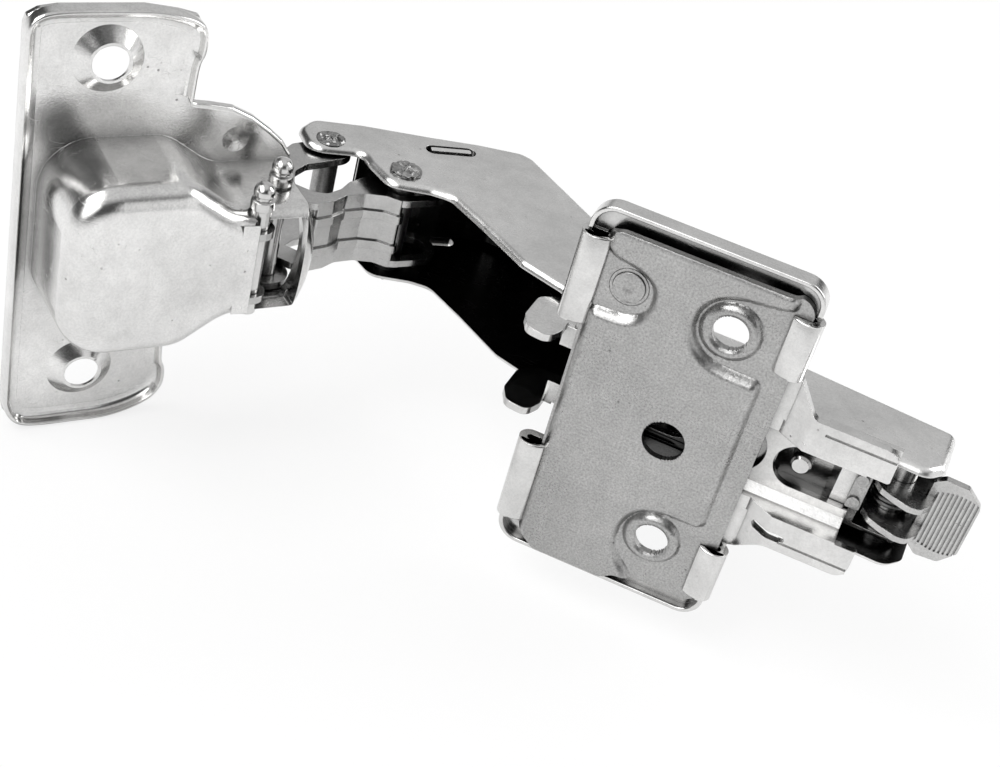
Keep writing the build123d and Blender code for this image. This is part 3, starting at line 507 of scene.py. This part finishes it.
def make_plate(material):
    """Cabinet plate as one pressed sheet: soft slopes round its pads and screw dimples."""
    xs = np.linspace(*PLATE_X, int((PLATE_X[1] - PLATE_X[0]) / PLATE_STEP) + 1)
    zs = np.linspace(-PLATE_Z, PLATE_Z, int(2 * PLATE_Z / PLATE_STEP) + 1)
    x, z = np.meshgrid(xs, zs, indexing="ij")
    # corners of the sheet rounded
    for cx, sx in ((PLATE_X[0] + PLATE_ROUND, -1), (PLATE_X[1] - PLATE_ROUND, 1)):
        for cz, sz in ((-PLATE_Z + PLATE_ROUND, -1), (PLATE_Z - PLATE_ROUND, 1)):
            a, b = (x - cx) * sx, (z - cz) * sz
            corner = (a > TINY) & (b > TINY)
            scale = np.where(corner, np.maximum(a, b) / np.maximum(np.hypot(a, b), TINY), 1)
            x, z = cx + a * scale * sx, cz + b * scale * sz
    # its lower end reaches further under the raised face
    z -= (END_MORE * smooth(*END_RIGHT, x) * smooth(*END_LEFT, x)
          * smooth(END_FROM, -PLATE_Z, z))
    solid = np.ones((len(xs) - 1, len(zs) - 1), bool)
    for hx, hz, radius in PLATE_HOLES:
        reach = np.hypot(x - hx, z - hz)
        snap = np.abs(reach - radius) < 0.7 * PLATE_STEP
        ratio = np.where(snap, radius / np.maximum(reach, TINY), 1)
        x, z = hx + (x - hx) * ratio, hz + (z - hz) * ratio
        mid_x = (x[1:, 1:] + x[:-1, :-1]) / 2
        mid_z = (z[1:, 1:] + z[:-1, :-1]) / 2
        solid &= np.hypot(mid_x - hx, mid_z - hz) > radius
    line = [tuple(q) for q in corner_cut(PLATEAU + PLATEAU[:1], 3)]
    rise = crown(*PAD_SLOPE, inside_distance(line[:-1], x, z))
    near = PLATE_BACK * (1 - rise)
    for side in (1, -1):
        reach = np.hypot(x, z - side * SCREW_Z)
        lip = (PLATE_BACK - LIP_RISE * crown(*LIP_OUTER, reach)
               + LIP_FALL * smooth(*LIP_INNER, reach))
        near = np.where(reach < LIP_REACH, np.minimum(near, lip), near)
    far = near + PLATE_SHEET - END_THINNER * smooth(*END_THIN_Z, z)
    count = x.size
    index = np.arange(count).reshape(x.shape)
    verts = np.concatenate([np.stack([x, near, z], -1).reshape(-1, 3),
                            np.stack([x, far, z], -1).reshape(-1, 3)]) * MM
    faces = []
    for i, j in zip(*np.nonzero(solid)):
        quad = (index[i, j], index[i + 1, j], index[i + 1, j + 1], index[i, j + 1])
        faces.append(quad)
        faces.append(tuple(q + count for q in reversed(quad)))
        for (di, dj), (p, q) in zip(((0, -1), (1, 0), (0, 1), (-1, 0)),
                                    zip(quad, quad[1:] + quad[:1])):
            a, b = i + di, j + dj
            if not (0 <= a < solid.shape[0] and 0 <= b < solid.shape[1] and solid[a, b]):
                faces.append((q, p, p + count, q + count))
    mesh = bpy.data.meshes.new("plate_sheet")
    mesh.from_pydata([tuple(v) for v in verts.tolist()], [],
                     [tuple(int(k) for k in face) for face in faces])
    bm = bmesh.new()
    bm.from_mesh(mesh)
    bmesh.ops.delete(bm, geom=[v for v in bm.verts if not v.link_faces], context="VERTS")
    sheet = finish_mesh(bm, "plate_sheet", material, 50)
    bpy.data.meshes.remove(mesh)
    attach(sheet, "plate")
    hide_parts("cabinet_plate")


def make_tabs(material):
    """Wing plate whose four tabs are rolled round the cabinet plate, not folded flat."""
    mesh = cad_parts["wing_plate"].data.copy()
    bm = bmesh.new()
    bm.from_mesh(mesh)
    for side, (crest, _), (low, high) in TABS:
        for vert in bm.verts:
            x, y, z = vert.co / MM
            if (y < TAB_LEAF and low - TAB_MARGIN < z < high + TAB_MARGIN
                    and TAB_RANGE[0] < (x - crest) * side < TAB_RANGE[1]):
                vert.co.y = TAB_LEAF * MM
    bm.to_mesh(mesh)
    bm.free()
    mesh.materials.clear()
    mesh.materials.append(material)
    wing = bpy.data.objects.new("wing_sheet", mesh)
    bpy.context.scene.collection.objects.link(wing)
    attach(wing, "wing")
    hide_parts("wing_plate")

    bm = bmesh.new()
    for side, (crest, inner), (low, high) in TABS:
        reach = abs(inner - crest)
        curve = [(crest - side * out, TAB_CREST + TAB_R - math.sqrt(TAB_R ** 2 - out ** 2))
                 for out in TAB_OUT]
        for k in range(TAB_STEPS + 1):
            part = reach * k / TAB_STEPS
            drop = 1 - math.sqrt(1 - (part / (reach + TAB_SPREAD)) ** 2)
            curve.append((crest + side * part, TAB_CREST + TAB_DEPTH * drop))
        flat = min(curve[-1][1] + 0.1, TAB_LEAF)
        section = curve + [(inner, flat), (inner, TAB_BACK),
                           (crest - side * TAB_OUT[0], TAB_BACK)]
        falls = ([(low + gap, fall) for gap, fall in TAB_ENDS] + [(0.5 * (low + high), 0.0)]
                 + [(high - gap, fall) for gap, fall in reversed(TAB_ENDS)])
        rings = [[Vector((x, min(y + fall, TAB_BACK), z)) * MM for x, y in section]
                 for z, fall in falls]
        skin(bm, rings)
    tabs = finish_mesh(bm, "rolled_tabs", material, 50)
    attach(tabs, "wing")


def make_cam(material):
    """Height cam whose rivet is dished by the riveting tool and sits low in its pad."""
    bm = bmesh.new()
    bm.from_mesh(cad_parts["height_cam"].data)
    cx, cz = CAM_AT
    for vert in bm.verts:
        x, y, z = vert.co / MM
        if y > HEAD_DEPTH:
            continue
        reach = math.hypot(x - cx, z - cz)
        if reach < HEAD_MIDDLE:
            start, old_start, growth = HEAD_WITHIN
            wide = start + (reach - old_start) * growth
        else:
            start, growth = HEAD_OUTSIDE
            wide = start + (reach - HEAD_MIDDLE) * growth
        scale = wide / max(reach, 0.01)
        vert.co = Vector((cx + (x - cx) * scale, y + HEAD_LOWER, cz + (z - cz) * scale)) * MM
    bmesh.ops.remove_doubles(bm, verts=bm.verts, dist=0.002 * MM)
    cam = finish_mesh(bm, "cam_rivet", material, 25)
    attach(cam, "cam")
    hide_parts("height_cam")


def make_pins(material):
    """Two cup pins with necked, domed tips and a rolled collar on the nose."""
    bm = bmesh.new()
    for u, w in CUP_PINS:
        at = cup_place(u, w, 0) / MM
        turned(bm, at, PIN_SECTION)
    pins = finish_mesh(bm, "cup_pins", material, 40)
    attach(pins, "cup")
    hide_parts("cup_pin")


def make_rivets(material):
    """Link pins with roughened heads."""
    chance = random.Random(5)
    for node, name, body, at, body_r, head in LINK_PINS:
        bm = bmesh.new()
        turned(bm, at, [(r, -z) for r, z in reversed(head)]
               + [(body_r, -SHANK_END), (body_r, SHANK_END)] + list(head), 30)
        for vert in bm.verts:
            x, y, z = vert.co / MM
            reach = math.hypot(x - at[0], y - at[1])
            if abs(z) > PEEN_FROM and reach > PEEN_MIDDLE:
                swell = 1 + chance.uniform(*PEEN_OUT) / reach
                vert.co = Vector((at[0] + (x - at[0]) * swell, at[1] + (y - at[1]) * swell,
                                  z - math.copysign(chance.uniform(*PEEN_IN), z))) * MM
        pin = finish_mesh(bm, name, material, 22)
        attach(pin, body)
        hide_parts(node)


def make_coil(material):
    """Torsion spring of the lever: four turns of round wire and two legs."""
    first, last = ([PIVOT + Vector((COIL_R + out, y, end)) for out, y in leg]
                   for leg, end in zip(COIL_LEGS, (-COIL_HALF, COIL_HALF)))
    line = list(first)
    for k in range(int(COIL_TURNS * COIL_STEPS) + 1):
        turn = 2 * math.pi * k / COIL_STEPS
        line.append(PIVOT + Vector((COIL_R * math.cos(turn), COIL_R * math.sin(turn),
                                    -COIL_HALF + 2 * COIL_HALF * k / (COIL_TURNS * COIL_STEPS))))
    line += last
    bm = bmesh.new()
    tube(bm, [p * MM for p in line], COIL_WIRE * MM)
    coil = finish_mesh(bm, "lever_coil", material, 60)
    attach(coil, "lever")
    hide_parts("lever_spring")


# ------------------------------------------------------------------- stage
FLOOR_GAP = 0.0004
FLOOR_RADIUS = 1.6
FLOOR_COLOUR = (0.93, 0.93, 0.93, 1.0)
# how much of the floor's white the camera and the metal see, the rest is its shaded colour
FLOOR_SEEN, FLOOR_REFLECTED = 0.8, 0.15
WHITE = (1.0, 1.0, 1.0, 1.0)
# grey of the surroundings from straight below to straight above
SKY = ((0.0, 0.95), (0.50, 0.95), (0.56, 0.35), (0.64, 0.05), (0.84, 0.08), (0.95, 0.7))
# pale screens: direction, cosine at the edge and at the core, level
SCREENS = (((-0.15, 0.80, 0.58), 0.80, 0.93, 0.62),     # behind and above
           ((0.95, -0.1, 0.30), 0.86, 0.96, 0.9),       # to the right
           ((-0.20, -0.76, 0.62), 0.88, 0.97, 2.2))     # above the viewer
# lamps: name, place, target, size in metres, power in watts
LAMPS = (("key", (-0.35, -0.25, 0.55), (-0.02, 0.0, 0.0), (0.5, 0.35), 2.6),
         ("rim", (0.45, 0.35, 0.35), (0.0, 0.02, 0.0), (0.3, 0.5), 2.0))


def build_stage():
    scene = bpy.context.scene
    scene.view_settings.view_transform = "Standard"
    mesh = bpy.data.meshes.new("floor")
    bm = bmesh.new()
    bmesh.ops.create_circle(bm, cap_ends=True, segments=96, radius=FLOOR_RADIUS)
    bm.to_mesh(mesh)
    bm.free()
    floor = bpy.data.objects.new("floor", mesh)
    floor.location = (0, 0, cad_box[0][2] - FLOOR_GAP)
    scene.collection.objects.link(floor)
    mat = bpy.data.materials.new("floor")
    n = Nodes(mat)
    n.shader.inputs["Base Color"].default_value = FLOOR_COLOUR
    n.shader.inputs["Roughness"].default_value = 0.9
    glow = n.add("ShaderNodeEmission", in_Strength=1.0)
    path = n.add("ShaderNodeLightPath").outputs
    seen = n.math("MAXIMUM", n.math("MULTIPLY", path["Is Camera Ray"], FLOOR_SEEN),
                  n.math("MULTIPLY", path["Is Glossy Ray"], FLOOR_REFLECTED))
    blend = n.add("ShaderNodeMixShader", in_Fac=seen,
                  in_1=n.shader.outputs[0], in_2=glow.outputs[0])
    n.feed(blend.outputs[0], n.out.inputs[0])
    floor.data.materials.append(mat)

    world = bpy.data.worlds.new("world")
    scene.world = world
    n = Nodes(world, "Background", "World Output")
    ahead = n.add("ShaderNodeTexCoord").outputs["Generated"]
    height = n.add("ShaderNodeSeparateXYZ", in_0=ahead).outputs[2]
    sky = n.ramp(n.math("MULTIPLY_ADD", height, 0.5, 0.5), SKY)
    for axis, edge, core, level in SCREENS:
        aim = n.add("ShaderNodeVectorMath", operation="DOT_PRODUCT", in_0=ahead,
                    in_1=Vector(axis).normalized())
        screen = n.add("ShaderNodeMapRange", interpolation_type="SMOOTHSTEP",
                       in_0=aim.outputs["Value"], in_1=edge, in_2=core, in_3=0.0, in_4=level)
        sky = n.math("MAXIMUM", sky, screen.outputs[0])
    path = n.add("ShaderNodeLightPath").outputs
    mix = n.add("ShaderNodeMix", data_type="RGBA", in_Factor=path["Is Camera Ray"],
                in_6=sky, in_7=WHITE)
    n.feed(mix.outputs[2], n.shader.inputs[0])
    n.shader.inputs[1].default_value = 1.0

    for name, place, target, size, power in LAMPS:
        data = bpy.data.lights.new(name, "AREA")
        data.shape = "RECTANGLE"
        data.size, data.size_y = size
        data.energy = power
        obj = bpy.data.objects.new(name, data)
        obj.location = place
        aim = Vector(target) - Vector(place)
        obj.rotation_euler = aim.to_track_quat("-Z", "Y").to_euler()
        scene.collection.objects.link(obj)


set_camera()
build_stage()

# materials: painted_shade darkens the crevices of each as painted shade, most of all in link_steel
# and in lever_steel's grooves
plate_steel = metal("plate_steel", 0.52, 0.21, grain=1.0, speck=0.5, pits=0.8)
pressed_steel = metal("pressed_steel", 0.76, 0.14, grain=0.3, speck=0.6, scratch=0.6)
wing_steel = metal("wing_steel", 0.76, 0.14, grain=0.3, speck=0.6, scratch=0.6,
                   inside=bridge_inside)
arm_steel = metal("arm_steel", 0.80, 0.20, grain=0.3, speck=0.5, scratch=0.7, inside=channel_inside)
cup_steel = metal("cup_steel", 0.84, 0.15, grain=0.35, speck=0.5, scratch=0.7)
link_steel = metal("link_steel", 0.56, 0.15, grain=0.35, speck=0.5, painted_shade=0.9)
pin_steel = metal("pin_steel", 0.72, 0.16, grain=0.2, speck=0.3)
worn_steel = metal("worn_steel", 0.42, 0.26, grain=0.9, speck=0.9, pits=1.5)
lever_steel = metal("lever_steel", 0.60, 0.2, grain=0.5, speck=0.6, painted_shade=0.92, reach=0.0016)
# coil_steel is painted near black (shade 0.2) as painted shade: the deep shade the coil sits in
coil_steel = metal("coil_steel", 0.2, 0.24, grain=0.3, speck=0.4)
leaf_steel = metal("leaf_steel", 0.95, 0.2, grain=0.3, speck=0.4, painted_shade=0.3, inside=spring_inside)

make_plate(plate_steel)
dress(("catch_strip", "upper_catch_rivet", "lower_catch_rivet"), plate_steel)
make_tabs(wing_steel)
dress(("clip_carriage",), pressed_steel)
dress(("release_lever",), lever_steel)
dress(("hinge_arm",), arm_steel)
dress(("upper_short_link", "lower_short_link", "long_link"), link_steel)
make_cam(plate_steel)
dress(("lever_pin", "overlay_screw", "depth_screw"), pin_steel)
make_rivets(worn_steel)
dress(("closing_spring",), leaf_steel)
make_cup(cup_steel)
make_pins(pin_steel)
make_coil(coil_steel)
